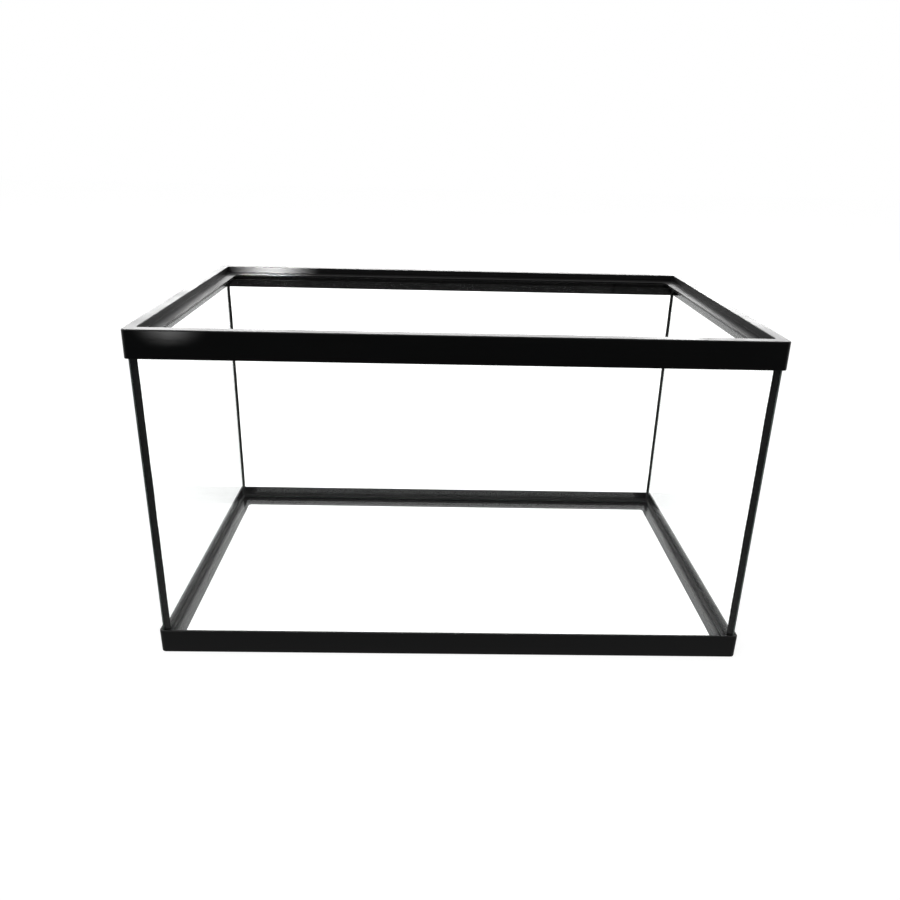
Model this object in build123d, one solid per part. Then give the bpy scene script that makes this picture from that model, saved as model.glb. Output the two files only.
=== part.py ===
from build123d import *

import os

# Rectangular glass tank held by a moulded plastic top frame and base frame.
# All sizes are in millimetres. The origin is the middle of the footprint, on the table.
# X runs along the length, the front is at -Y, and Z points up.

# Glass box
glass_length = 508.0
glass_depth = 305.0
pane_height = 280.0
pane_thickness = 4.0
floor_thickness = 5.0
ground_edge = 0.4

# Silicone seals
joint_film = 0.6
bead_leg = 2.2
bead_hollow = 0.38  # middle of the hollow face, as a share of the leg
bead_rim_gap = 1.0

# How both frames fit round the glass
glass_clearance = 0.8
skirt_wall = 2.2
corner_radius = 4.0
bond_setback = 4.0

# Top frame, an upside-down channel with a ledge for a lid
top_skirt_height = 23.0
lip_thickness = 2.2
channel_wall = 1.6
channel_depth = 14.0
ledge_drop = 6.0
ledge_width = 12.0
ledge_thickness = 2.0
recess_radius = 3.0
lip_edge_radius = 1.0
recess_edge_radius = 0.5
top_bond_thickness = 0.8
top_bond_drop = 9.0

# Base frame, a skirt with a shelf under the glass and a leg inside
base_skirt_height = 22.0
shelf_height = 8.0
shelf_thickness = 2.0
floor_rest = 6.7
leg_wall = 2.0
rib_wall = 1.6
rib_pitch = 45.0
rib_foot_gap = 1.0
base_edge_radius = 1.0
lead_in = 0.6
base_bond_height = 8.0

# How near to a height a level face has to lie to be found there
height_match = 0.01

# Places worked out from the sizes above
glass_inset = skirt_wall + glass_clearance
frame_length = glass_length + 2 * glass_inset
frame_depth = glass_depth + 2 * glass_inset
inner_length = glass_length - 2 * pane_thickness
inner_depth = glass_depth - 2 * pane_thickness
side_pane_depth = inner_depth - 2 * joint_film
floor_length = inner_length - 2 * joint_film
floor_depth = inner_depth - 2 * joint_film
floor_top = shelf_height + floor_thickness
pane_top = shelf_height + pane_height
tank_height = pane_top + top_bond_thickness + lip_thickness
channel_inset = glass_inset + pane_thickness + glass_clearance
lip_width = channel_inset + channel_wall
ledge_inset = lip_width + ledge_width
ledge_top = tank_height - ledge_drop
channel_foot = tank_height - channel_depth
leg_inset = glass_inset + pane_thickness + joint_film + floor_rest
bead_top = channel_foot - bead_rim_gap


def slab(length, depth, height, x, y, z):
    """Box centred on x and y that stands on z."""
    return Pos(x, y, z) * Box(length, depth, height, align=(Align.CENTER, Align.CENTER, Align.MIN))


def ring(outer_inset, outer_radius, inner_inset, inner_radius, low, high):
    """Rectangular ring between two insets from the outside of the frames."""
    outside = RectangleRounded(
        frame_length - 2 * outer_inset, frame_depth - 2 * outer_inset, outer_radius
    )
    inside = RectangleRounded(
        frame_length - 2 * inner_inset, frame_depth - 2 * inner_inset, inner_radius
    )
    return Pos(0, 0, low) * extrude(outside - inside, high - low)


def flat_face(solid, height):
    """Largest level face at a height."""
    level = solid.faces().filter_by(Axis.Z)
    near = level.filter_by_position(Axis.Z, height - height_match, height + height_match)
    return near.sort_by(SortBy.AREA)[-1]


def upright_pane(length, depth, x, y):
    """Upright glass pane with its edges ground off."""
    pane = slab(length, depth, pane_height, x, y, shelf_height)
    return chamfer(pane.edges(), ground_edge)


def bottom_pane():
    """Floor of the tank, between the four upright panes."""
    pane = slab(floor_length, floor_depth, floor_thickness, 0, 0, shelf_height)
    return chamfer(pane.edges(), ground_edge)


def bead_section():
    """Triangle with one hollow side, as a finger leaves it, with its square corner at the origin."""
    middle = bead_leg * bead_hollow
    outline = [
        Line((0, 0), (bead_leg, 0)),
        ThreePointArc((bead_leg, 0), (middle, middle), (0, bead_leg)),
        Line((0, bead_leg), (0, 0)),
    ]
    return make_face(outline)


def corner_seal():
    """Upright seal at the front left: a film behind the front pane and a bead inside the corner."""
    film = slab(
        pane_thickness,
        joint_film,
        pane_height,
        -glass_length / 2 + pane_thickness / 2,
        -inner_depth / 2 + joint_film / 2,
        shelf_height,
    )
    bead = Pos(-inner_length / 2, -inner_depth / 2, floor_top) * extrude(
        bead_section(), bead_top - floor_top
    )
    return film + bead


def mitre_wedge(length, depth):
    """Plan of one bottom bead, cut at 45 degrees where it meets its neighbours."""
    reach = 2 * bead_leg
    x = length / 2
    y = depth / 2
    plan = Polygon((-x, -y), (x, -y), (x - reach, reach - y), (reach - x, reach - y), align=None)
    return Pos(0, 0, floor_top) * extrude(plan, reach)


def bottom_seal(length, depth, film_length):
    """Seal along the front of the bottom pane, for a tank floor of the given length and depth."""
    film = slab(
        film_length,
        joint_film,
        floor_thickness,
        0,
        -depth / 2 + joint_film / 2,
        shelf_height,
    )
    corner = Plane(origin=(-length / 2, -depth / 2, floor_top), x_dir=(0, 1, 0), z_dir=(1, 0, 0))
    bead = extrude(corner * bead_section(), length) & mitre_wedge(length, depth)
    return film + bead


def top_bond(length, depth):
    """Adhesive over the top edge of the front pane and down between the pane and the skirt."""
    cap = slab(
        length,
        pane_thickness + glass_clearance,
        top_bond_thickness,
        0,
        -depth / 2 + (pane_thickness - glass_clearance) / 2,
        pane_top,
    )
    drop = slab(
        length,
        glass_clearance,
        top_bond_drop,
        0,
        -depth / 2 - glass_clearance / 2,
        pane_top - top_bond_drop,
    )
    return cap + drop


def base_bond(length, depth):
    """Adhesive between the foot of the front pane and the skirt of the base frame."""
    return slab(
        length, glass_clearance, base_bond_height, 0, -depth / 2 - glass_clearance / 2, shelf_height
    )


def top_frame():
    """Upside-down channel over the glass, with the step and ledge that carry a lid."""
    inner_radius = corner_radius - skirt_wall
    skirt = ring(0, corner_radius, skirt_wall, inner_radius, tank_height - top_skirt_height, tank_height)
    lip = ring(0, corner_radius, lip_width, recess_radius, tank_height - lip_thickness, tank_height)
    wall = ring(
        channel_inset, recess_radius + channel_wall, lip_width, recess_radius, channel_foot, tank_height
    )
    ledge = ring(
        channel_inset,
        recess_radius + channel_wall,
        ledge_inset,
        recess_radius,
        ledge_top - ledge_thickness,
        ledge_top,
    )
    frame = skirt + lip + wall + ledge
    top = flat_face(frame, tank_height)
    frame = fillet(top.outer_wire().edges(), lip_edge_radius)
    top = flat_face(frame, tank_height)
    frame = fillet(top.inner_wires()[0].edges(), recess_edge_radius)
    rest = flat_face(frame, ledge_top)
    return fillet(rest.inner_wires()[0].edges(), recess_edge_radius)


def rib_places(run):
    """Places along one side of the base frame where a rib crosses its underside."""
    count = int(run / rib_pitch)
    return [(index - (count - 1) / 2) * rib_pitch for index in range(count)]


def base_ribs():
    """Ribs that join the skirt to the inner leg under the shelf."""
    span = leg_inset - skirt_wall / 2 - leg_wall / 2
    middle = skirt_wall / 2 + span / 2
    height = shelf_height - shelf_thickness / 2 - rib_foot_gap
    y = frame_depth / 2 - middle
    x = frame_length / 2 - middle
    along_x = rib_places(frame_length - 2 * leg_inset)
    along_y = rib_places(frame_depth - 2 * leg_inset)
    ribs = []
    for side in (-1, 1):
        ribs += [slab(rib_wall, span, height, place, side * y, rib_foot_gap) for place in along_x]
        ribs += [slab(span, rib_wall, height, side * x, place, rib_foot_gap) for place in along_y]
    return ribs


def base_frame():
    """Skirt round the foot of the glass, with a shelf that carries every pane and a leg inside."""
    inner_radius = corner_radius - skirt_wall
    skirt = ring(0, corner_radius, skirt_wall, inner_radius, 0, base_skirt_height)
    shelf = ring(0, corner_radius, leg_inset, recess_radius, shelf_height - shelf_thickness, shelf_height)
    leg = ring(leg_inset - leg_wall, recess_radius + leg_wall, leg_inset, recess_radius, 0, shelf_height)
    frame = skirt + shelf + leg + base_ribs()
    top = flat_face(frame, base_skirt_height)
    frame = fillet(top.outer_wire().edges(), base_edge_radius)
    top = flat_face(frame, base_skirt_height)
    frame = chamfer(top.inner_wires()[0].edges(), lead_in)
    foot = frame.faces().filter_by(Axis.Z).sort_by(Axis.Z)[0:2].sort_by(SortBy.AREA)[-1]
    return fillet(foot.outer_wire().edges(), base_edge_radius)


def opposite(front, plane):
    """The same piece on the other side of the tank."""
    return mirror(front, about=plane)


def quarter_turn(piece):
    """A piece made for the front, turned to the left."""
    return Rot(0, 0, -90) * piece


pieces = {}

front_pane_y = -glass_depth / 2 + pane_thickness / 2
left_pane_x = -glass_length / 2 + pane_thickness / 2
pieces["glass_front"] = upright_pane(glass_length, pane_thickness, 0, front_pane_y)
pieces["glass_back"] = upright_pane(glass_length, pane_thickness, 0, -front_pane_y)
pieces["glass_left"] = upright_pane(pane_thickness, side_pane_depth, left_pane_x, 0)
pieces["glass_right"] = upright_pane(pane_thickness, side_pane_depth, -left_pane_x, 0)
pieces["glass_bottom"] = bottom_pane()
pieces["top_frame"] = top_frame()
pieces["base_frame"] = base_frame()

corner_front_left = corner_seal()
corner_back_left = opposite(corner_front_left, Plane.XZ)
pieces["corner_seal_front_left"] = corner_front_left
pieces["corner_seal_back_left"] = corner_back_left
pieces["corner_seal_front_right"] = opposite(corner_front_left, Plane.YZ)
pieces["corner_seal_back_right"] = opposite(corner_back_left, Plane.YZ)

corner_seals = [piece for name, piece in pieces.items() if name.startswith("corner_seal")]
front_seal = bottom_seal(inner_length, inner_depth, inner_length) - corner_seals
left_seal = quarter_turn(bottom_seal(inner_depth, inner_length, floor_depth)) - corner_seals
front_top_bond = top_bond(glass_length - 2 * bond_setback, glass_depth)
left_top_bond = quarter_turn(top_bond(side_pane_depth - 2 * bond_setback, glass_length))
front_base_bond = base_bond(glass_length - 2 * bond_setback, glass_depth)
left_base_bond = quarter_turn(base_bond(side_pane_depth - 2 * bond_setback, glass_length))
runs = {
    "bottom_seal": (front_seal, left_seal),
    "top_bond": (front_top_bond, left_top_bond),
    "base_bond": (front_base_bond, left_base_bond),
}
for kind, (front, left) in runs.items():
    pieces[kind + "_front"] = front
    pieces[kind + "_back"] = opposite(front, Plane.XZ)
    pieces[kind + "_left"] = left
    pieces[kind + "_right"] = opposite(left, Plane.YZ)

os.makedirs("parts", exist_ok=True)
for name, piece in pieces.items():
    export_step(piece, "parts/" + name + ".step")

print("outside:", frame_length, "x", frame_depth, "x", tank_height, "mm")
print("room inside:", inner_length, "x", inner_depth, "mm, height to the ledge", ledge_top - floor_top)
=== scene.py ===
import math

import bmesh
import bpy
from bpy.props import FloatProperty, FloatVectorProperty, PointerProperty
from bpy.types import Operator, Panel, PropertyGroup
from mathutils import Matrix, Vector, noise


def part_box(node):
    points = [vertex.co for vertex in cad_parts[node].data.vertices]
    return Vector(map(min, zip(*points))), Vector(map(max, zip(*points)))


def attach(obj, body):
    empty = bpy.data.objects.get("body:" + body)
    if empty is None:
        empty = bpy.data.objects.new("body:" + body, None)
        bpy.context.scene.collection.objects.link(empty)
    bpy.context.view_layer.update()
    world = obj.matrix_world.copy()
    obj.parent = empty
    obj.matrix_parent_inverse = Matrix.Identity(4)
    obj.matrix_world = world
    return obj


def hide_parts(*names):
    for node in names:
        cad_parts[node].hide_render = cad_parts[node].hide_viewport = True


bl_info = {
    "name": "Framed Glass Tank",
    "version": (1, 0, 0),
    "blender": (4, 5, 0),
    "location": "View3D > Sidebar > Tank",
    "description": "Dresses a rectangular glass tank with its panes, mouldings and silicone",
    "category": "Add Mesh",
}

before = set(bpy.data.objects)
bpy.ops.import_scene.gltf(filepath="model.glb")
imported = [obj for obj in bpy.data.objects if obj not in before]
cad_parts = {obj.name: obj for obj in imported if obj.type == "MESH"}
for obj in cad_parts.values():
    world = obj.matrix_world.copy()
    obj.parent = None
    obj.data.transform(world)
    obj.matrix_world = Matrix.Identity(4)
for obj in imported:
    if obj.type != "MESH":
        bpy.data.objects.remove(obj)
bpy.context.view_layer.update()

BODY = "root"
SIDES = ("front", "back", "left", "right")
CORNERS = ("front_left", "front_right", "back_left", "back_right")
MM = 0.001

# How much of a face's normal lies along an axis
NEARLY_FLAT = 0.999  # more than this across a pane, for its flat faces
NEARLY_UPRIGHT = 0.1  # less than this along Z, for a wall
FACING_UP = 0.3  # more than this along Z, for a face that looks up
# Ends and free edges are found within this distance, in metres
AT_END = 1e-6

# Steps along beads and adhesive, and the wavelengths and seeds of their unevenness
BEAD_STEP = 4 * MM
CORNER_WAVE = 26 * MM
CORNER_SEED = 3.1
FLOOR_WAVE = 31 * MM
FLOOR_SEED = 11.3
ADHESIVE_STEP = 5 * MM
ADHESIVE_WAVE = 34 * MM
ADHESIVE_SHORT_WAVE = 9 * MM
ADHESIVE_SEED = 21.7
ADHESIVE_SETBACK = 0.6  # how far the free edge stays back, as a share of the squeeze
SHELF_GAP = 0.05 * MM  # keeps the shelf just clear of the glass
FLOOR_DROP = 0.2 * MM  # keeps the floor just below the feet
CORNER_SEGMENTS = 8
HOLLOW_STEPS = 6
LOOP_SPACING = 0.1  # keeps the loops of a moulding apart until they are joined
BEAD_RIM = 0.9  # where the rim of a bead starts, as a share of its leg
BEAD_RIPPLE = 0.4  # height of a bead's short waves, as a share of the long ones
STRIP_RIPPLE = 0.5  # the same for the adhesive

# Depth of the relief in each finish of the plastic, against that of the skin
SKIN_RELIEF = 1.0
SEAT_RELIEF = 2.5
WALL_RELIEF = 0.15
# What handling adds to the roughness of the two other finishes
SEAT_HANDLED = 0.08
WALL_HANDLED = 0.02

WHITE = (1.0, 1.0, 1.0)
BLACK = (0.0, 0.0, 0.0)
DUST = (0.35, 0.34, 0.33)
PLASTIC_IOR = 1.46
SILICONE_IOR = 1.41
GLASS_IOR = 1.52

# In mirror images the floor is dark round this place, out to the first distance, and light past the second
DARK_SPOT = (0.0, -3.2, 0.0)
DARK_REACH = (2.8, 3.5)
# and the room is dark where a ray's Y is under the first value, and light over the second
DARK_ROOM = (-0.9, -0.3)

TANK_MIDDLE = (0.0, 0.0, 0.15)
# Name, place, width, height and watts of each large lamp
SOFT_BOXES = (
    ("overhead_lamp", (-0.6, -0.5, 2.2), 1.8, 1.4, 14.0),
    ("back_lamp", (0.1, 2.3, 0.89), 1.9, 0.22, 14.0),
    ("left_back_lamp", (-1.6, 2.35, 0.72), 1.5, 0.46, 15.0),
    ("right_back_lamp", (1.6, 2.35, 0.72), 1.5, 0.46, 15.0),
)
# Name, place, target, width, height, watts and spread in degrees of each small lamp for a highlight
GLINTS = (
    ("rear_glint_lamp", (-0.345, -0.536, 0.43), (-0.199, 0.146, 0.288), 0.03, 0.02, 0.18, 6.0),
    ("front_glint_lamp", (-0.38, -0.616, 0.1745), (-0.218, -0.1555, 0.302), 0.02, 0.005, 0.00046, 5.3),
)


def node_box(node):
    """Lowest and highest corner of one solid of the frame."""
    low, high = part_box(node)
    return Vector(low), Vector(high)


def inset_between(outer, inner):
    """How far one solid of the frame lies inside another, measured along X."""
    return node_box(inner)[0].x - node_box(outer)[0].x


GLASS_INSET = inset_between("top_frame", "glass_front")
PANE = node_box("glass_front")[1].y - node_box("glass_front")[0].y


def length(name, about, default):
    """A length that the sidebar shows in the scene's units."""
    return FloatProperty(name=name, description=about, default=default, min=0.0, unit="LENGTH", precision=5)


def share(name, about, default):
    """A number from 0 to 1."""
    return FloatProperty(name=name, description=about, default=default, min=0.0, max=1.0, subtype="FACTOR")


def tint(name, about, default):
    """A linear colour."""
    return FloatVectorProperty(
        name=name, description=about, default=default, size=3, min=0.0, max=1.0, subtype="COLOR"
    )


class TankTopFrame(PropertyGroup):
    skirt_wall: length("Skirt wall", "Wall of the skirt outside the glass", 2.2 * MM)
    lip_thickness: length("Lip thickness", "Plastic over the top edge of the glass", 2.2 * MM)
    clearance: length("Clearance", "Room between glass and plastic", 0.8 * MM)
    channel_wall: length("Channel wall", "Wall of the channel inside the glass", 1.6 * MM)
    channel_depth: length("Channel depth", "How far the inner wall reaches down", 14.0 * MM)
    ledge_drop: length("Ledge drop", "Depth of the recess that takes a lid", 6.0 * MM)
    ledge_thickness: length("Ledge thickness", "Thickness of the ledge", 2.0 * MM)
    ledge_width: length("Ledge width", "How far the ledge reaches inwards from the lip", 12.0 * MM)
    corner_radius: length("Corner radius", "Outer corners seen from above", 4.0 * MM)
    recess_radius: length("Recess radius", "Inner corners seen from above", 3.0 * MM)
    outer_edge: length("Outer edge", "Rounding of the outer top edge", 1.0 * MM)
    inner_edge: length("Inner edge", "Rounding of the edges of the recess", 0.5 * MM)
    root_edge: length("Root edge", "Rounding in the inside corners", 0.3 * MM)
    draft: length("Draft", "How far the outside leans in towards the top", 0.15 * MM)


class TankBaseFrame(PropertyGroup):
    skirt_wall: length("Skirt wall", "Wall of the skirt outside the glass", 2.2 * MM)
    shelf_thickness: length("Shelf thickness", "Thickness of the shelf under the glass", 2.0 * MM)
    leg_wall: length("Leg wall", "Wall of the leg inside", 2.0 * MM)
    rest: length("Rest", "How far the shelf reaches under the bottom pane", 6.7 * MM)
    rib_wall: length("Rib wall", "Thickness of each rib under the shelf", 1.6 * MM)
    rib_pitch: length("Rib pitch", "Distance from rib to rib", 45.0 * MM)
    rib_foot_gap: length("Rib foot gap", "Room under each rib", 1.0 * MM)
    corner_radius: length("Corner radius", "Outer corners seen from above", 4.0 * MM)
    recess_radius: length("Recess radius", "Inner corners seen from above", 3.0 * MM)
    outer_edge: length("Outer edge", "Rounding of the outer edges", 1.0 * MM)
    root_edge: length("Root edge", "Rounding of the other edges", 0.35 * MM)
    draft: length("Draft", "How far the outside leans in towards the foot", 0.15 * MM)


class TankGlass(PropertyGroup):
    ground_edge: length("Ground edge", "Width of the ground bevel along each edge", 0.4 * MM)
    body: tint("Body", "Faint tint of the glass", (0.990, 0.996, 0.993))
    edge: tint("Edge", "Colour of the ground edges", (0.32, 0.46, 0.41))
    smudge: share("Smudge", "Roughness where the glass was handled", 0.02)
    mirror: share("Mirror", "How much of its mirror image each face of the glass shows", 0.7)


class TankSilicone(PropertyGroup):
    leg: length("Leg", "Width of the bead on each pane", 2.2 * MM)
    film: length("Film", "Thickness between two panes", 0.6 * MM)
    hollow: share("Hollow", "Middle of the hollow face, as a share of the leg", 0.38)
    wander: length("Wander", "Unevenness of the tooled bead", 0.22 * MM)
    squeeze: length("Squeeze", "Unevenness of the adhesive between glass and plastic", 1.6 * MM)
    wetting: length("Wetting", "How far silicone sinks into the glass that it wets", 0.04 * MM)
    colour: tint("Colour", "Cured silicone", (0.003, 0.003, 0.0032))
    shine: share("Shine", "Specular level of the skin", 0.3)


class TankPlastic(PropertyGroup):
    colour: tint("Colour", "Moulded plastic", (0.002, 0.002, 0.0022))
    worn: tint("Worn", "Plastic where edges are rubbed", (0.012, 0.012, 0.0125))
    shine: share("Shine", "Specular level of the skin", 0.3)
    gloss: share("Gloss roughness", "Roughness of the skin as moulded", 0.28)
    handled: share("Handled roughness", "Roughness where the skin was handled", 0.38)
    # The same black plastic as the skin, painted lighter on the step and ledge as painted light
    seat_painted_light_colour: tint("Seat colour", "Plastic of the step and ledge that carry a lid", (0.01, 0.01, 0.0102))
    seat_shine: share("Seat shine", "Specular level of the step and ledge", 0.15)
    seat_grain: share("Seat roughness", "Roughness of the fine-grained step and ledge", 0.36)
    wall_shine: share("Wall shine", "Specular level of the polished walls below the ledge", 0.5)
    wall_gloss: share("Wall roughness", "Roughness of the polished walls below the ledge", 0.05)


class TankStudio(PropertyGroup):
    camera_place: FloatVectorProperty(
        name="Camera place",
        description="Where the camera stands",
        default=(-0.01998, -0.75269, 0.43555),
        size=3,
        subtype="TRANSLATION",
        unit="LENGTH",
    )
    heading: FloatProperty(
        name="Heading",
        description="Turn of the camera to the right",
        default=math.radians(1.439),
        unit="ROTATION",
    )
    tilt: FloatProperty(
        name="Tilt", description="Tilt of the camera down", default=math.radians(21.743), unit="ROTATION"
    )
    roll: FloatProperty(
        name="Roll",
        description="Lean of the camera to the left",
        default=math.radians(1.423),
        unit="ROTATION",
    )
    lens: FloatProperty(name="Lens", description="Focal length in millimetres", default=31.98, min=1.0)
    ambient: share("Ambient", "Strength of the light from all around", 0.55)
    floor_colour: tint("Floor", "Colour of the floor", (0.25, 0.25, 0.25))
    floor_glow: share("Floor glow", "How white the floor looks where no shadow falls", 0.86)
    floor_mirrored: share("Floor mirrored", "How white the floor in front looks in mirror images", 0.1)
    floor_behind: share("Floor behind", "How white the floor behind the tank looks in mirror images", 0.9)
    backdrop_mirrored: share("Backdrop mirrored", "How white the backdrop looks in mirror images", 1.0)
    room_mirrored: share("Room mirrored", "How bright the room in front looks in mirror images", 0.08)
    glass_gain: share("Glass gain", "Light that the background gains behind glass", 0.45)


def outward(bm):
    """Turns every face outwards."""
    bmesh.ops.recalc_face_normals(bm, faces=bm.faces[:])
    if bm.calc_volume(signed=True) < 0.0:
        bmesh.ops.reverse_faces(bm, faces=bm.faces[:])


def linked(name, bm, materials, body=BODY):
    """Puts a finished mesh in the scene, in metres, with its place in its mesh, riding on a body."""
    outward(bm)
    mesh = bpy.data.meshes.new(name)
    bm.to_mesh(mesh)
    bm.free()
    for material in materials:
        mesh.materials.append(material)
    piece = bpy.data.objects.new(name, mesh)
    bpy.context.scene.collection.objects.link(piece)
    if body:
        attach(piece, body)
    return piece


def smooth_by_angle(bm, limit=math.radians(38)):
    """Smooth faces, with the edges that turn sharply kept crisp."""
    for face in bm.faces:
        face.smooth = True
    for edge in bm.edges:
        edge.smooth = edge.calc_face_angle(0.0) < limit


def level_normals(piece):
    """Keeps large flat faces flat beside their rounded edges."""
    weighted = piece.modifiers.new("level_normals", "WEIGHTED_NORMAL")
    weighted.mode = "FACE_AREA"
    weighted.keep_sharp = True
    weighted.weight = 100


def box_mesh(bm, low, high):
    """Adds a box between two corners."""
    verts = bmesh.ops.create_cube(bm, size=1.0)["verts"]
    bmesh.ops.scale(bm, vec=high - low, verts=verts)
    bmesh.ops.translate(bm, vec=(low + high) / 2, verts=verts)


def round_edges(bm, edges, radius, segments):
    """Rounds edges and marks the new faces as rubbed."""
    rubbed = bm.faces.layers.float.get("rubbed") or bm.faces.layers.float.new("rubbed")
    made = bmesh.ops.bevel(
        bm,
        geom=edges,
        offset=radius,
        offset_type="OFFSET",
        segments=segments,
        profile=0.5,
        affect="EDGES",
        clamp_overlap=True,
        material=-1,
    )
    for face in made["faces"]:
        face[rubbed] = 1.0


class RingStation:
    """One corner of a frame's section: its inset from the outside, its corner radius and its height."""

    def __init__(self, inset, radius, height, rounding, segments=2):
        self.inset = inset
        self.radius = radius
        self.height = height
        self.rounding = rounding
        self.segments = segments


def ring_loop(bm, half, station, height):
    """Closed loop of edges round the tank, a rectangle with rounded corners, as vertices and edges."""
    x = half.x - station.inset
    y = half.y - station.inset
    corners = [bm.verts.new((sx * x, sy * y, height)) for sx, sy in ((-1, -1), (1, -1), (1, 1), (-1, 1))]
    bm.faces.new(corners)
    bmesh.ops.bevel(
        bm,
        geom=corners,
        offset=station.radius,
        offset_type="OFFSET",
        segments=CORNER_SEGMENTS,
        profile=0.5,
        affect="VERTICES",
        clamp_overlap=False,
        material=-1,
    )
    bm.faces.ensure_lookup_table()
    face = bm.faces[0]
    verts = list(face.verts)
    edges = list(face.edges)
    bmesh.ops.delete(bm, geom=[face], context="FACES_ONLY")
    return verts, edges


def ring_body(stations, half):
    """Closed moulding: loops of edges at every station, bridged one to the next and rounded."""
    bm = bmesh.new()
    loops = [ring_loop(bm, half, station, LOOP_SPACING * index) for index, station in enumerate(stations)]
    for index, (_, edges) in enumerate(loops):
        bmesh.ops.bridge_loops(bm, edges=edges + loops[(index + 1) % len(loops)][1])
    for station, (verts, _) in zip(stations, loops):
        for vert in verts:
            vert.co.z = station.height
    outward(bm)
    for station, (_, edges) in zip(stations, loops):
        if station.rounding:
            round_edges(bm, edges, station.rounding, station.segments)
    return bm


def top_frame_stations(sizes, low, high):
    """Section of the top frame, from the outer top edge inwards and round."""
    channel = GLASS_INSET + PANE + sizes.clearance
    lip = channel + sizes.channel_wall
    ledge = lip + sizes.ledge_width
    skirt_radius = sizes.corner_radius - sizes.skirt_wall
    outer_channel = sizes.recess_radius + sizes.channel_wall
    top = high.z
    rest = top - sizes.ledge_drop
    under = rest - sizes.ledge_thickness
    foot = top - sizes.channel_depth
    web = top - sizes.lip_thickness
    root = sizes.root_edge
    return [
        RingStation(sizes.draft, sizes.corner_radius, top, sizes.outer_edge, 5),
        RingStation(lip, sizes.recess_radius, top, sizes.inner_edge, 3),
        RingStation(lip, sizes.recess_radius, rest, root),
        RingStation(ledge, sizes.recess_radius, rest, sizes.inner_edge, 3),
        RingStation(ledge, sizes.recess_radius, under, root),
        RingStation(lip, sizes.recess_radius, under, root),
        RingStation(lip, sizes.recess_radius, foot, root),
        RingStation(channel, outer_channel, foot, root),
        RingStation(channel, outer_channel, web, root),
        RingStation(sizes.skirt_wall, skirt_radius, web, root),
        RingStation(sizes.skirt_wall, skirt_radius, low.z, root),
        RingStation(0.0, sizes.corner_radius, low.z, root, 3),
    ]


def leg_inset(sizes):
    """How far the base frame reaches inwards, to the inner face of its leg."""
    film = inset_between("glass_left", "glass_bottom") - PANE
    return GLASS_INSET + PANE + film + sizes.rest


def base_frame_stations(sizes, low, high, shelf):
    """Section of the base frame, from the outer top edge inwards and round."""
    leg = leg_inset(sizes)
    skirt_radius = sizes.corner_radius - sizes.skirt_wall
    outer_leg = sizes.recess_radius + sizes.leg_wall
    under = shelf - sizes.shelf_thickness
    root = sizes.root_edge
    return [
        RingStation(0.0, sizes.corner_radius, high.z, sizes.outer_edge, 5),
        RingStation(sizes.skirt_wall, skirt_radius, high.z, root),
        RingStation(sizes.skirt_wall, skirt_radius, shelf, root),
        RingStation(leg, sizes.recess_radius, shelf, root, 3),
        RingStation(leg, sizes.recess_radius, low.z, root),
        RingStation(leg - sizes.leg_wall, outer_leg, low.z, root),
        RingStation(leg - sizes.leg_wall, outer_leg, under, root),
        RingStation(sizes.skirt_wall, skirt_radius, under, root),
        RingStation(sizes.skirt_wall, skirt_radius, low.z, root),
        RingStation(sizes.draft, sizes.corner_radius, low.z, sizes.outer_edge, 5),
    ]


def base_ribs(sizes, half, shelf):
    """Ribs across the hollow underside, between the skirt and the leg."""
    leg = leg_inset(sizes)
    outer = sizes.skirt_wall / 2
    inner = leg - sizes.leg_wall / 2
    top = shelf - sizes.shelf_thickness / 2
    bm = bmesh.new()
    for run, across, turned in ((half.x, half.y, False), (half.y, half.x, True)):
        count = int(2 * (run - leg) / sizes.rib_pitch)
        for index in range(count):
            place = (index - (count - 1) / 2) * sizes.rib_pitch
            for side in (-1, 1):
                ends = sorted((side * (across - outer), side * (across - inner)))
                low = Vector((place - sizes.rib_wall / 2, ends[0], sizes.rib_foot_gap))
                high = Vector((place + sizes.rib_wall / 2, ends[1], top))
                if turned:
                    low.x, low.y = low.y, low.x
                    high.x, high.y = high.y, high.x
                box_mesh(bm, low, high)
    return bm


def add_ribs(piece, ribs):
    """Joins the ribs to a moulding as one closed skin."""
    tool = linked("rib_tool", ribs, [], None)
    join = piece.modifiers.new("ribs", "BOOLEAN")
    join.operation = "UNION"
    join.solver = "EXACT"
    join.object = tool
    with bpy.context.temp_override(object=piece, active_object=piece):
        bpy.ops.object.modifier_apply(modifier=join.name)
    mesh = tool.data
    bpy.data.objects.remove(tool)
    bpy.data.meshes.remove(mesh)


def wobble(place, seed, wave):
    """Smooth unevenness between -1 and 1 along a bead."""
    return noise.noise(Vector((place / wave, seed, 0.37 * seed)))


def seal_section(sizes, film_reach):
    """Half film and half bead: points from the end of the film round the hollow face."""
    leg = sizes.leg
    middle = leg * sizes.hollow
    start = Vector((leg, 0.0))
    centre = Vector((middle, middle))
    end = Vector((0.0, leg))
    pull = 2 * centre - (start + end) / 2
    hollow = []
    for index in range(HOLLOW_STEPS + 1):
        t = index / HOLLOW_STEPS
        hollow.append(start * (1 - t) ** 2 + pull * 2 * t * (1 - t) + end * t**2)
    wet = sizes.wetting
    film = [Vector((-film_reach, sizes.film)), Vector((-film_reach, -wet)), Vector((leg, -wet))]
    return [Vector((-wet, sizes.film))] + film + hollow + [Vector((-wet, leg))]


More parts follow.
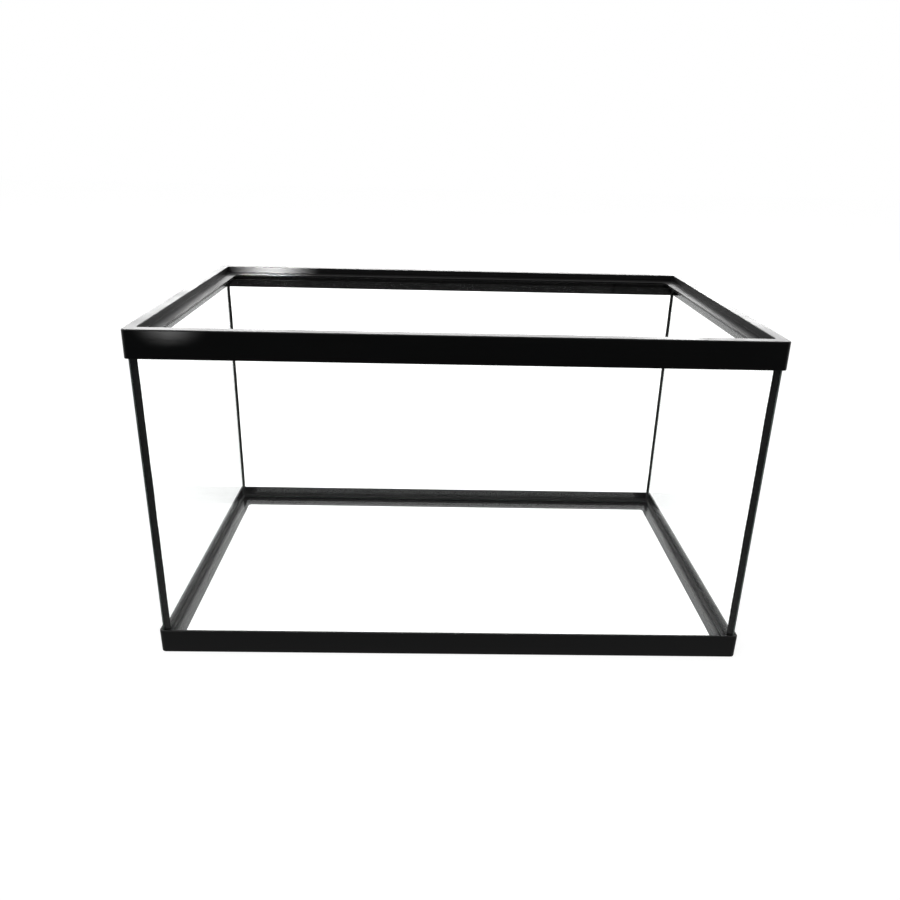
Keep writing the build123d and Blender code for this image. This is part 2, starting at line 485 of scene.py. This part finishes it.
def sweep_straight(section, start, along, across, up, run, step, shape):
    """Sweeps a closed section along a straight line in short steps, each of which shape may alter."""
    bm = bmesh.new()
    verts = [bm.verts.new(start + across * p.x + up * p.y) for p in section]
    face = bm.faces.new(verts)
    grown = bmesh.ops.extrude_face_region(bm, geom=[face])
    moved = [item for item in grown["geom"] if isinstance(item, bmesh.types.BMVert)]
    bmesh.ops.translate(bm, vec=along * run, verts=moved)
    lengthwise = [e for e in bm.edges if abs((e.verts[1].co - e.verts[0].co).dot(along)) > run / 2]
    bmesh.ops.subdivide_edges(bm, edges=lengthwise, cuts=max(1, round(run / step)), use_grid_fill=False)
    for vert in bm.verts:
        place = vert.co - start
        shape(vert, place.dot(along), place.dot(across), place.dot(up), across, up)
    return bm


def tooled(sizes, seed, wave, mitre=None):
    """Makes the free face of a bead uneven, as a finger leaves it, and mitres its ends."""

    def shape(vert, place, u, v, across, up):
        free = min(max(u, 0.0), max(v, 0.0))
        if free > 0.0 or max(u, v) > BEAD_RIM * sizes.leg:
            grow = wobble(place, seed, wave) + BEAD_RIPPLE * wobble(place, seed + 7.0, wave / 4)
            grow *= sizes.wander
            vert.co += (across * max(u, 0.0) + up * max(v, 0.0)) / sizes.leg * grow
        if mitre:
            mitre(vert, place, u, v)

    return shape


class TANK_OT_panes(Operator):
    """Glass panes with ground edges"""

    bl_idname = "tank.panes"
    bl_label = "Glass Panes"

    def execute(self, context):
        sizes = context.scene.tank_glass
        faces = clear_glass(sizes)
        edges = ground_glass(sizes)
        for side in SIDES + ("bottom",):
            low, high = node_box("glass_" + side)
            thin = min(range(3), key=lambda axis: high[axis] - low[axis])
            bm = bmesh.new()
            box_mesh(bm, low, high)
            round_edges(bm, bm.edges[:], sizes.ground_edge, 2)
            outward(bm)
            for face in bm.faces:
                face.smooth = True
                face.material_index = 0 if abs(face.normal[thin]) > NEARLY_FLAT else 1
            pane = linked("floor_pane" if side == "bottom" else side + "_pane", bm, [faces, edges])
            level_normals(pane)
            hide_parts("glass_" + side)
        return {"FINISHED"}


class TANK_OT_top_frame(Operator):
    """Top frame with its lip, channel and lid ledge"""

    bl_idname = "tank.top_frame"
    bl_label = "Top Frame"

    def execute(self, context):
        sizes = context.scene.tank_top_frame
        low, high = node_box("top_frame")
        bm = ring_body(top_frame_stations(sizes, low, high), high)
        rest = high.z - sizes.ledge_drop
        for face in bm.faces:
            middle = face.calc_center_median()
            inward = face.normal.dot(Vector((-middle.x, -middle.y, 0.0))) > 0.0
            upright = abs(face.normal.z) < NEARLY_UPRIGHT
            on_ledge = abs(middle.z - rest) < sizes.inner_edge and face.normal.z > FACING_UP
            # The step walls and the ledge take the finish whose colour is painted lighter, as painted light
            if on_ledge or (inward and upright and middle.z > rest):
                face.material_index = 1
            elif inward and upright:
                face.material_index = 2
        smooth_by_angle(bm)
        look = context.scene.tank_plastic
        finishes = [moulded_plastic(look), grained_painted_light_plastic(look), polished_plastic(look)]
        piece = linked("top_frame_moulding", bm, finishes)
        level_normals(piece)
        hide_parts("top_frame")
        return {"FINISHED"}


class TANK_OT_base_frame(Operator):
    """Base frame with its skirt, shelf, inner leg and ribs"""

    bl_idname = "tank.base_frame"
    bl_label = "Base Frame"

    def execute(self, context):
        sizes = context.scene.tank_base_frame
        low, high = node_box("base_frame")
        shelf = node_box("glass_bottom")[0].z
        bm = ring_body(base_frame_stations(sizes, low, high, shelf - SHELF_GAP), high)
        smooth_by_angle(bm)
        piece = linked("base_frame_moulding", bm, [moulded_plastic(context.scene.tank_plastic)])
        add_ribs(piece, base_ribs(sizes, high, shelf))
        level_normals(piece)
        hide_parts("base_frame")
        return {"FINISHED"}


class TANK_OT_corner_seals(Operator):
    """Upright seals with their films and tooled beads"""

    bl_idname = "tank.corner_seals"
    bl_label = "Corner Seals"

    def execute(self, context):
        sizes = context.scene.tank_silicone
        section = seal_section(sizes, PANE)
        floor_top = node_box("glass_bottom")[1].z
        rubber = black_silicone(sizes)
        for index, corner in enumerate(CORNERS):
            low, high = node_box("corner_seal_" + corner)
            x_sign = 1.0 if "left" in corner else -1.0
            y_sign = 1.0 if "front" in corner else -1.0
            inner_x = low.x + PANE if "left" in corner else high.x - PANE
            inner_y = low.y if "front" in corner else high.y
            start = Vector((inner_x, inner_y, floor_top))
            run = high.z - floor_top
            bm = sweep_straight(
                section,
                start,
                Vector((0, 0, 1)),
                Vector((x_sign, 0, 0)),
                Vector((0, y_sign, 0)),
                run,
                BEAD_STEP,
                tooled(sizes, CORNER_SEED + index, CORNER_WAVE),
            )
            smooth_by_angle(bm)
            piece = linked("corner_bead_" + corner, bm, [rubber])
            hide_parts("corner_seal_" + corner)
        return {"FINISHED"}


class TANK_OT_bottom_seals(Operator):
    """Seals round the bottom pane"""

    bl_idname = "tank.bottom_seals"
    bl_label = "Bottom Seals"

    def execute(self, context):
        sizes = context.scene.tank_silicone
        floor_low, floor_high = node_box("glass_bottom")
        section = seal_section(sizes, floor_high.z - floor_low.z)
        rubber = black_silicone(sizes)
        wall = {
            "front": (Vector((1, 0, 0)), Vector((0, 1, 0))),
            "back": (Vector((1, 0, 0)), Vector((0, -1, 0))),
            "left": (Vector((0, 1, 0)), Vector((1, 0, 0))),
            "right": (Vector((0, 1, 0)), Vector((-1, 0, 0))),
        }
        inner_x = floor_high.x + sizes.film
        inner_y = floor_high.y + sizes.film
        for index, side in enumerate(SIDES):
            along, inward = wall[side]
            half_run = inner_x if along.x else inner_y
            reach = inner_y if along.x else inner_x
            start = -along * half_run - inward * reach + Vector((0, 0, floor_high.z))
            run = 2 * half_run

            def mitre(vert, place, u, v, along=along, run=run):
                if place < AT_END:
                    vert.co += along * max(v, 0.0)
                elif place > run - AT_END:
                    vert.co -= along * max(v, 0.0)

            bm = sweep_straight(
                section,
                start,
                along,
                Vector((0, 0, 1)),
                inward,
                run,
                BEAD_STEP,
                tooled(sizes, FLOOR_SEED + index, FLOOR_WAVE, mitre),
            )
            smooth_by_angle(bm)
            piece = linked("floor_bead_" + side, bm, [rubber])
            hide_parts("bottom_seal_" + side)
        return {"FINISHED"}


def squeezed_strip(low, high, along_x, free_sign, sizes, seed):
    """Strip of adhesive with an uneven free edge, above it when free_sign is 1 and below it when -1."""
    bm = bmesh.new()
    box_mesh(bm, low, high)
    axis = 0 if along_x else 1
    run = high[axis] - low[axis]
    lengthwise = [e for e in bm.edges if abs(e.verts[1].co[axis] - e.verts[0].co[axis]) > run / 2]
    bmesh.ops.subdivide_edges(bm, edges=lengthwise, cuts=round(run / ADHESIVE_STEP), use_grid_fill=False)
    free = high.z if free_sign > 0 else low.z
    for vert in bm.verts:
        if abs(vert.co.z - free) < AT_END:
            place = vert.co[axis]
            lift = wobble(place, seed, ADHESIVE_WAVE)
            lift += STRIP_RIPPLE * wobble(place, seed + 5.0, ADHESIVE_SHORT_WAVE)
            vert.co.z += sizes.squeeze * (lift - ADHESIVE_SETBACK) * free_sign
    return bm


class TANK_OT_adhesive(Operator):
    """Adhesive between the glass and both frames"""

    bl_idname = "tank.adhesive"
    bl_label = "Adhesive"

    def execute(self, context):
        sizes = context.scene.tank_silicone
        rubber = black_silicone(sizes)
        for index, side in enumerate(SIDES):
            along_x = side in ("front", "back")
            for kind, free_sign in (("top_bond_", -1), ("base_bond_", 1)):
                low, high = node_box(kind + side)
                bm = squeezed_strip(low, high, along_x, free_sign, sizes, ADHESIVE_SEED + index)
                smooth_by_angle(bm)
                piece = linked(kind.replace("bond", "adhesive") + side, bm, [rubber])
                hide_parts(kind + side)
        return {"FINISHED"}


def add_node(tree, kind, values=None, **settings):
    """Adds a shader node, with its sockets given by name as numbers, colours or links."""
    made = tree.nodes.new("ShaderNode" + kind)
    for name, value in settings.items():
        setattr(made, name, value)
    for name, value in (values or {}).items():
        socket = made.inputs[name]
        if isinstance(value, bpy.types.NodeSocket):
            tree.links.new(value, socket)
        else:
            socket.default_value = value
    return made


def fresh_material(name):
    """Empty material of that name, or None where it was already made."""
    if name in bpy.data.materials:
        return None
    material = bpy.data.materials.new(name)
    material.use_nodes = True
    material.node_tree.nodes.clear()
    return material


def ranged(tree, value, low, high, start=0.0, stop=1.0):
    """A value between start and stop, spread from low to high."""
    limits = {"From Min": start, "From Max": stop, "To Min": low, "To Max": high}
    return add_node(tree, "MapRange", {"Value": value, **limits}).outputs["Result"]


def pattern(tree, place, scale, detail=3.0, roughness=0.55):
    """Cloudy noise at a scale in features per metre."""
    values = {"Vector": place, "Scale": scale, "Detail": detail, "Roughness": roughness}
    return add_node(tree, "TexNoise", values).outputs["Fac"]


def computed(tree, operation, first, second):
    """Sum, product or the like of two values."""
    return add_node(tree, "Math", {0: first, 1: second}, operation=operation).outputs[0]


def blended(tree, factor, first, second):
    """Mix of two colours."""
    return add_node(tree, "Mix", {"Factor": factor, 6: first, 7: second}, data_type="RGBA").outputs[2]


def scaled(tree, vector, factor):
    """Colour or vector times a value."""
    return add_node(tree, "VectorMath", {0: vector, "Scale": factor}, operation="SCALE").outputs["Vector"]


def one_part(tree, vector, axis):
    """X, Y or Z of a vector."""
    return add_node(tree, "SeparateXYZ", {"Vector": vector}).outputs[axis]


def principled(tree, colour, rough, ior, normal=None, shine=0.5, see_through=0.0):
    """Shader for a smooth material."""
    values = {
        "Base Color": colour,
        "Roughness": rough,
        "IOR": ior,
        "Specular IOR Level": shine,
        "Transmission Weight": see_through,
    }
    if normal is not None:
        values["Normal"] = normal
    return add_node(tree, "BsdfPrincipled", values)


def bumped(tree, height, distance, strength, under=None):
    """Bump with a real depth, over another one if given."""
    values = {"Height": height, "Distance": distance, "Strength": strength}
    if under is not None:
        values["Normal"] = under
    return add_node(tree, "Bump", values).outputs["Normal"]


def shown(tree, shader):
    """Makes a shader the surface of the material."""
    add_node(tree, "OutputMaterial", {"Surface": shader.outputs[0]})


def rgba(colour):
    """Colour with full alpha."""
    return (*colour, 1.0)


def black_moulding(name, look, colour, shine, roughness, relief):
    """Black injection moulding: faint orange peel, rubbed edges, handling marks and dust."""
    material = fresh_material(name)
    if material is None:
        return bpy.data.materials[name]
    tree = material.node_tree
    place = add_node(tree, "TexCoord").outputs["Object"]
    rubbed = add_node(tree, "Attribute", attribute_name="rubbed").outputs["Fac"]
    patches = pattern(tree, place, 14.0, 4.0)
    peel = pattern(tree, place, 520.0, 2.0)
    flow = pattern(tree, place, 11.0, 1.0)
    stretched = add_node(tree, "Mapping", {"Vector": place, "Scale": (9.0, 9.0, 950.0)}).outputs["Vector"]
    scuffs = ranged(tree, pattern(tree, stretched, 1.0, 3.0), 0.0, 1.0, 0.62, 0.70)
    specks = add_node(tree, "TexVoronoi", {"Vector": place, "Scale": 780.0}).outputs["Distance"]
    dust = ranged(tree, specks, 1.0, 0.0, 0.03, 0.11)
    upward = one_part(tree, add_node(tree, "NewGeometry").outputs["Normal"], "Z")
    lying = ranged(tree, upward, 0.0, 1.0, 0.6, 0.95)
    dusty = computed(tree, "MULTIPLY", dust, lying)
    uneven = ranged(tree, pattern(tree, place, 90.0), 0.0, 1.0, 0.42, 0.68)
    wear = computed(tree, "MULTIPLY", rubbed, uneven)
    colour = blended(tree, wear, rgba(colour), rgba(look.worn))
    colour = blended(tree, ranged(tree, dusty, 0.0, 0.25), colour, rgba(DUST))
    skin = ranged(tree, patches, *roughness, 0.35, 0.72)
    scratch = 0.12 * min(relief, 1.0)
    rough = computed(tree, "ADD", ranged(tree, scuffs, 0.0, scratch), skin)
    rough = computed(tree, "ADD", ranged(tree, wear, 0.0, 0.15), rough)
    normal = bumped(tree, flow, relief * 0.12 * MM, 0.6)
    normal = bumped(tree, peel, relief * 0.012 * MM, 0.5, normal)
    normal = bumped(tree, scuffs, relief * 0.006 * MM, 0.5, normal)
    shown(tree, principled(tree, colour, rough, PLASTIC_IOR, normal, shine))
    return material


def moulded_plastic(look):
    """Skin of both mouldings, a soft gloss."""
    roughness = (look.gloss, look.handled)
    return black_moulding("moulded_plastic", look, look.colour, look.shine, roughness, SKIN_RELIEF)


def grained_painted_light_plastic(look):
    """Step and ledge that carry a lid, duller than the rest of the skin, and the same black plastic painted
    lighter there as painted light.
    """
    colour, shine = look.seat_painted_light_colour, look.seat_shine
    roughness = (look.seat_grain, look.seat_grain + SEAT_HANDLED)
    return black_moulding("grained_painted_light_plastic", look, colour, shine, roughness, SEAT_RELIEF)


def polished_plastic(look):
    """Walls below the ledge, glossier than the rest of the skin."""
    roughness = (look.wall_gloss, look.wall_gloss + WALL_HANDLED)
    return black_moulding("polished_plastic", look, look.colour, look.wall_shine, roughness, WALL_RELIEF)


def black_silicone(look):
    """Cured black silicone: satin, with tooling ripples and fine bubbles."""
    material = fresh_material("black_silicone")
    if material is None:
        return bpy.data.materials["black_silicone"]
    tree = material.node_tree
    place = add_node(tree, "TexCoord").outputs["Object"]
    ripple = pattern(tree, place, 130.0, 3.0)
    grain = pattern(tree, place, 1500.0, 2.0)
    bubbles = add_node(tree, "TexVoronoi", {"Vector": place, "Scale": 420.0}).outputs["Distance"]
    pits = ranged(tree, bubbles, 0.0, 1.0, 0.02, 0.09)
    tone = ranged(tree, pattern(tree, place, 60.0), 0.75, 1.35, 0.3, 0.7)
    colour = scaled(tree, look.colour, tone)
    normal = bumped(tree, ripple, 0.08 * MM, 0.7)
    normal = bumped(tree, grain, 0.008 * MM, 0.6, normal)
    normal = bumped(tree, pits, 0.03 * MM, 0.6, normal)
    rough = ranged(tree, ripple, 0.34, 0.52, 0.3, 0.7)
    shown(tree, principled(tree, colour, rough, SILICONE_IOR, normal, look.shine))
    return material


def lets_lamps_through(tree, shader, tinted):
    """Glass whose shadow is only its tint."""
    straight = add_node(tree, "BsdfTransparent", {"Color": rgba(tinted)})
    shadow = add_node(tree, "LightPath").outputs["Is Shadow Ray"]
    return add_node(tree, "MixShader", {"Fac": shadow, 1: shader.outputs[0], 2: straight.outputs[0]})


def clear_glass(look):
    """Float glass, clear and flat, with faint marks of handling."""
    material = fresh_material("clear_glass_face")
    if material is None:
        return bpy.data.materials["clear_glass_face"]
    tree = material.node_tree
    place = add_node(tree, "TexCoord").outputs["Object"]
    streaks = {"Rotation": (0.3, 0.2, 0.5), "Scale": (5.0, 5.0, 22.0)}
    wiped = add_node(tree, "Mapping", {"Vector": place, **streaks}).outputs["Vector"]
    marks = pattern(tree, wiped, 1.0, 5.0, 0.6)
    rough = ranged(tree, marks, 0.0, look.smudge, 0.52, 0.78)
    body = rgba(look.body)
    plain = add_node(tree, "BsdfRefraction", {"Color": body, "Roughness": rough, "IOR": GLASS_IOR})
    whole = principled(tree, body, rough, GLASS_IOR, see_through=1.0)
    shader = add_node(tree, "MixShader", {"Fac": look.mirror, 1: plain.outputs[0], 2: whole.outputs[0]})
    shown(tree, lets_lamps_through(tree, shader, look.body))
    return material


def ground_glass(look):
    """Ground edge of float glass: frosted and green."""
    material = fresh_material("ground_glass_edge")
    if material is None:
        return bpy.data.materials["ground_glass_edge"]
    tree = material.node_tree
    place = add_node(tree, "TexCoord").outputs["Object"]
    grit = pattern(tree, place, 2400.0, 3.0)
    cloud = pattern(tree, place, 70.0, 3.0)
    deep = tuple(0.72 * value for value in look.edge)
    colour = blended(tree, cloud, rgba(look.edge), rgba(deep))
    normal = bumped(tree, grit, 0.01 * MM, 0.8)
    rough = ranged(tree, cloud, 0.28, 0.5, 0.3, 0.7)
    shader = principled(tree, colour, rough, GLASS_IOR, normal, see_through=0.75)
    shown(tree, lets_lamps_through(tree, shader, look.edge))
    return material


def brightness_by_ray(tree, light, direct, mirrored, through):
    """Strength of a background for lamps' light, straight sight, mirror images and sight through glass."""
    path = add_node(tree, "LightPath")
    sights = (
        ("Is Camera Ray", direct),
        ("Is Transmission Ray", through),
        ("Glossy Depth", mirrored),
        ("Diffuse Depth", light),
    )
    strength = light
    for ray, value in sights:
        strength = add_node(tree, "Mix", {"Factor": path.outputs[ray], 2: strength, 3: value}).outputs[0]
    return strength


def pale_floor(look):
    """White studio floor that keeps a soft shadow."""
    material = fresh_material("pale_floor")
    tree = material.node_tree
    place = add_node(tree, "TexCoord").outputs["Object"]
    cloud = ranged(tree, pattern(tree, place, 3.0), 0.97, 1.0, 0.3, 0.7)
    colour = scaled(tree, look.floor_colour, cloud)
    imaged = add_node(tree, "LightPath").outputs["Glossy Depth"]
    colour = blended(tree, imaged, colour, rgba(BLACK))
    matte = add_node(tree, "BsdfDiffuse", {"Color": colour, "Roughness": 0.6})
    glow = look.floor_glow
    away = add_node(tree, "VectorMath", {0: place, 1: DARK_SPOT}, operation="DISTANCE").outputs["Value"]
    mirrored = ranged(tree, away, look.floor_mirrored, look.floor_behind, *DARK_REACH)
    strength = brightness_by_ray(tree, 0.0, glow, mirrored, glow + look.glass_gain)
    lit = add_node(tree, "Emission", {"Color": rgba(WHITE), "Strength": strength})
    shown(tree, add_node(tree, "AddShader", {0: matte.outputs[0], 1: lit.outputs[0]}))
    return material


def white_world(look):
    """Even light from all around, white where it is seen."""
    world = bpy.data.worlds.new("studio")
    world.use_nodes = True
    tree = world.node_tree
    tree.nodes.clear()
    ahead = one_part(tree, add_node(tree, "TexCoord").outputs["Generated"], "Y")
    mirrored = ranged(tree, ahead, look.room_mirrored, look.backdrop_mirrored, *DARK_ROOM)
    strength = brightness_by_ray(tree, look.ambient, 1.0, mirrored, 1.0 + look.glass_gain)
    light = add_node(tree, "Background", {"Color": rgba(WHITE), "Strength": strength})
    add_node(tree, "OutputWorld", {"Surface": light.outputs[0]})
    bpy.context.scene.world = world


def soft_box(name, place, target, width, height, power):
    """Rectangular lamp that faces a point and isn't seen itself."""
    lamp = bpy.data.lights.new(name, "AREA")
    lamp.shape = "RECTANGLE"
    lamp.size = width
    lamp.size_y = height
    lamp.energy = power
    holder = bpy.data.objects.new(name, lamp)
    holder.location = place
    holder.rotation_euler = (Vector(target) - Vector(place)).to_track_quat("-Z", "Y").to_euler()
    holder.visible_camera = False
    bpy.context.scene.collection.objects.link(holder)
    return holder


def aimed_camera(look):
    """Camera by its place, heading, tilt and roll, looking along +Y at rest."""
    ahead = Vector(
        (
            math.sin(look.heading) * math.cos(look.tilt),
            math.cos(look.heading) * math.cos(look.tilt),
            -math.sin(look.tilt),
        )
    )
    level = Vector((math.cos(look.heading), -math.sin(look.heading), 0.0))
    upright = level.cross(ahead)
    right = level * math.cos(look.roll) + upright * math.sin(look.roll)
    up = upright * math.cos(look.roll) - level * math.sin(look.roll)
    turned = Matrix((right, up, -ahead)).transposed().to_4x4()
    lens = bpy.data.cameras.new("camera")
    lens.lens = look.lens
    lens.clip_start = 0.01
    holder = bpy.data.objects.new("camera", lens)
    holder.matrix_world = Matrix.Translation(look.camera_place) @ turned
    bpy.context.scene.collection.objects.link(holder)
    bpy.context.scene.camera = holder


class TANK_OT_stage(Operator):
    """Camera, soft light, white surroundings and a pale floor"""

    bl_idname = "tank.stage"
    bl_label = "Stage"

    def execute(self, context):
        look = context.scene.tank_studio
        context.scene.view_settings.view_transform = "Standard"
        aimed_camera(look)
        white_world(look)
        for name, place, width, height, power in SOFT_BOXES:
            soft_box(name, place, TANK_MIDDLE, width, height, power)
        for name, place, target, width, height, power, spread in GLINTS:
            glint = soft_box(name, place, target, width, height, power)
            glint.data.spread = math.radians(spread)
            glint.visible_diffuse = False
        bm = bmesh.new()
        bmesh.ops.create_grid(bm, x_segments=8, y_segments=8, size=6.0)
        bmesh.ops.translate(bm, vec=(0.0, 0.0, -FLOOR_DROP), verts=bm.verts)
        floor = linked("floor", bm, [pale_floor(look)], None)
        return {"FINISHED"}


class TANK_PT_sidebar(Panel):
    """Lists the pieces of the tank"""

    bl_idname = "TANK_PT_sidebar"
    bl_label = "Tank"
    bl_space_type = "VIEW_3D"
    bl_region_type = "UI"
    bl_category = "Tank"

    def draw(self, context):
        for maker in MAKERS:
            self.layout.operator(maker.bl_idname)
        for name, group in GROUPS.items():
            box = self.layout.box()
            box.label(text=name.replace("_", " ").title())
            for key in group.__annotations__:
                box.prop(getattr(context.scene, name), key)


GROUPS = {
    "tank_top_frame": TankTopFrame,
    "tank_base_frame": TankBaseFrame,
    "tank_glass": TankGlass,
    "tank_silicone": TankSilicone,
    "tank_plastic": TankPlastic,
    "tank_studio": TankStudio,
}
MAKERS = (
    TANK_OT_stage,
    TANK_OT_panes,
    TANK_OT_top_frame,
    TANK_OT_base_frame,
    TANK_OT_corner_seals,
    TANK_OT_bottom_seals,
    TANK_OT_adhesive,
)


def register():
    """Adds the add-on's classes and its values to the scene."""
    for group in GROUPS.values():
        bpy.utils.register_class(group)
    for maker in MAKERS:
        bpy.utils.register_class(maker)
    bpy.utils.register_class(TANK_PT_sidebar)
    for name, group in GROUPS.items():
        setattr(bpy.types.Scene, name, PointerProperty(type=group))


def unregister():
    """Takes the add-on's classes and values away again."""
    for name in GROUPS:
        delattr(bpy.types.Scene, name)
    bpy.utils.unregister_class(TANK_PT_sidebar)
    for maker in reversed(MAKERS):
        bpy.utils.unregister_class(maker)
    for group in reversed(GROUPS.values()):
        bpy.utils.unregister_class(group)


def main():
    """Registers the add-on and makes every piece."""
    register()
    bpy.ops.tank.stage()
    bpy.ops.tank.panes()
    bpy.ops.tank.top_frame()
    bpy.ops.tank.base_frame()
    bpy.ops.tank.corner_seals()
    bpy.ops.tank.bottom_seals()
    bpy.ops.tank.adhesive()


if __name__ == "__main__":
    main()
